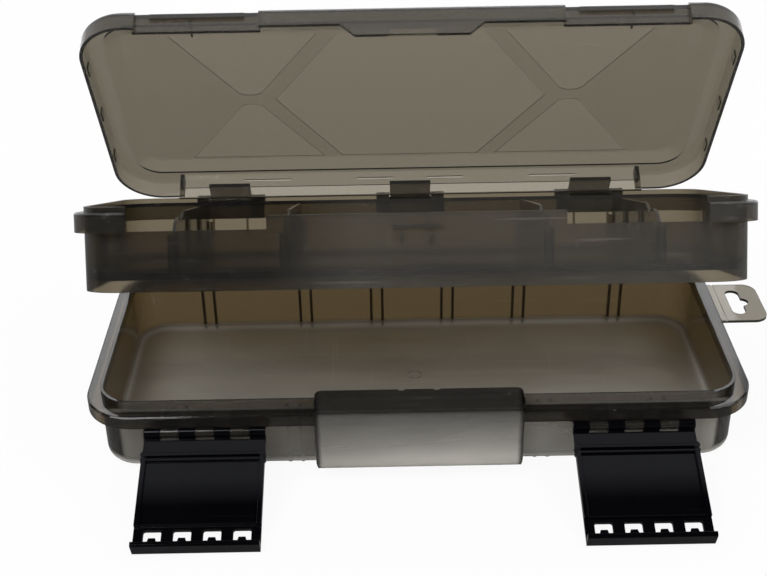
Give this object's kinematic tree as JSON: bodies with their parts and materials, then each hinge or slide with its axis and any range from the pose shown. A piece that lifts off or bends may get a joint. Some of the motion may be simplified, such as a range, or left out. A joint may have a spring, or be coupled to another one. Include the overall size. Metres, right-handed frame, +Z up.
{
  "type": "fishing tackle cabinet",
  "caption": "Flat smoke-tinted tackle cabinet with a base box, a hinged partitioned tray and a hinged lid, closed by black swing-over latches, with a hang tab.",
  "frame": {"origin": "middle of the base's flat underside, under the middle of its flange outline", "axes": "+X to the right along the width, +Y from the latches at the front to the hinges at the rear, +Z up"},
  "size_m": [0.378, 0.2421, 0.216],
  "materials": {
    "smoke_clear": "smooth clear smoke-tinted moulding, slightly glossy",
    "smoke_dark": "smooth clear smoke-tinted moulding, darker where walls meet",
    "black_plastic": "glossy black moulding",
    "pin_steel": "plain drawn wire"
  },
  "bodies": {
    "base": {"base_shell": "smoke_clear", "front_grip": "smoke_clear", "hang_tab": "smoke_clear", "latch_pin_left": "pin_steel", "latch_pin_right": "pin_steel", "tray_hinge_pin_left": "pin_steel", "tray_hinge_pin_middle": "pin_steel", "tray_hinge_pin_right": "pin_steel"},
    "tray": {"tray_shell": "smoke_dark", "tray_divider_1": "smoke_dark", "tray_divider_2": "smoke_dark", "tray_divider_3": "smoke_dark", "tray_divider_4": "smoke_dark", "lid_hinge_pin_left": "pin_steel", "lid_hinge_pin_middle": "pin_steel", "lid_hinge_pin_right": "pin_steel"},
    "lid": {"lid_shell": "smoke_clear"},
    "latch_left": {"latch_left": "black_plastic"},
    "latch_right": {"latch_right": "black_plastic"}
  },
  "joints": [
    {"name": "tray_hinge", "type": "hinge", "parent": "base", "child": "tray", "pos_m": [0, 0.0795, 0.0384], "axis": [-1, 0, 0], "range_deg": [-25, 50]},
    {"name": "lid_hinge", "type": "hinge", "parent": "tray", "child": "lid", "pos_m": [0, 0.09657, 0.07501], "axis": [-1, 0, 0], "range_deg": [-37, 68]},
    {"name": "latch_left_hinge", "type": "hinge", "parent": "base", "child": "latch_left", "pos_m": [-0.111, -0.074, 0.0275], "axis": [1, 0, 0], "range_deg": [-111, 0]},
    {"name": "latch_right_hinge", "type": "hinge", "parent": "base", "child": "latch_right", "pos_m": [0.111, -0.074, 0.0275], "axis": [1, 0, 0], "range_deg": [-111, 0]}
  ]
}
